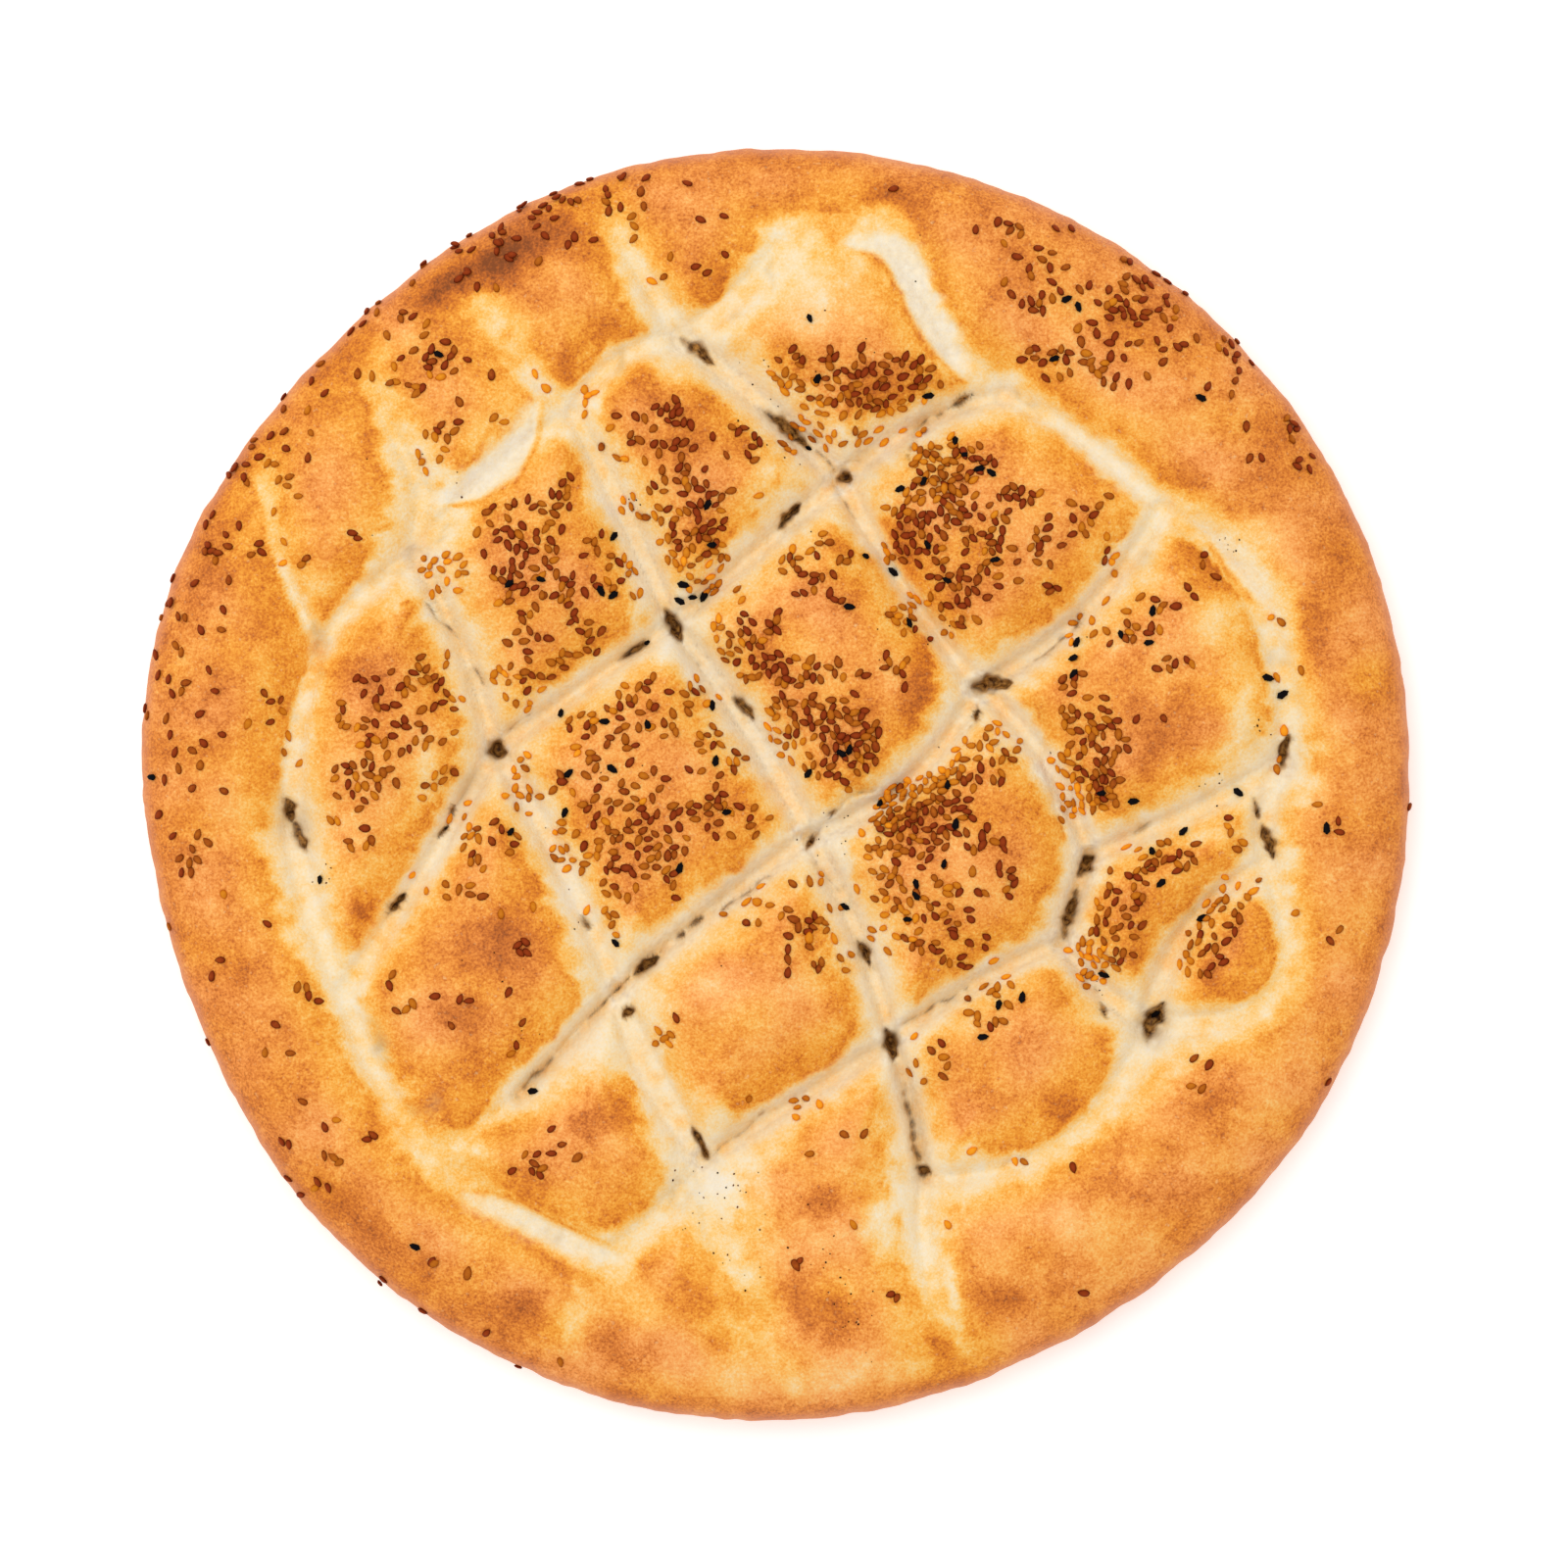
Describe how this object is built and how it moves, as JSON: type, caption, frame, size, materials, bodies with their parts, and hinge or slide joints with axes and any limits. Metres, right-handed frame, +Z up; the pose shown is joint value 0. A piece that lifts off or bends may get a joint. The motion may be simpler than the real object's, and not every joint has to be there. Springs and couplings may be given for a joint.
{
  "type": "round flatbread with seeds",
  "caption": "Round leavened flatbread with a broad rounded rim, a slanting lattice of puffed pillows between pressed furrows, and a strewing of sesame and nigella seed.",
  "frame": {"origin": "centre of the bread's flat sole, under the middle of its box", "axes": "+Z up out of the seeded crust, +X to the right and +Y away as the bread is seen from above"},
  "size_m": [0.3234, 0.3244, 0.0282],
  "materials": {
    "crust": "baked crust: pale cream in the furrows, golden to orange-brown on the pillows and rim, faintly glossy",
    "sesame": "toasted sesame seed, brown with a darker edge",
    "nigella": "matt black nigella seed"
  },
  "bodies": {
    "root": {"pide": "crust"}
  },
  "joints": []
}
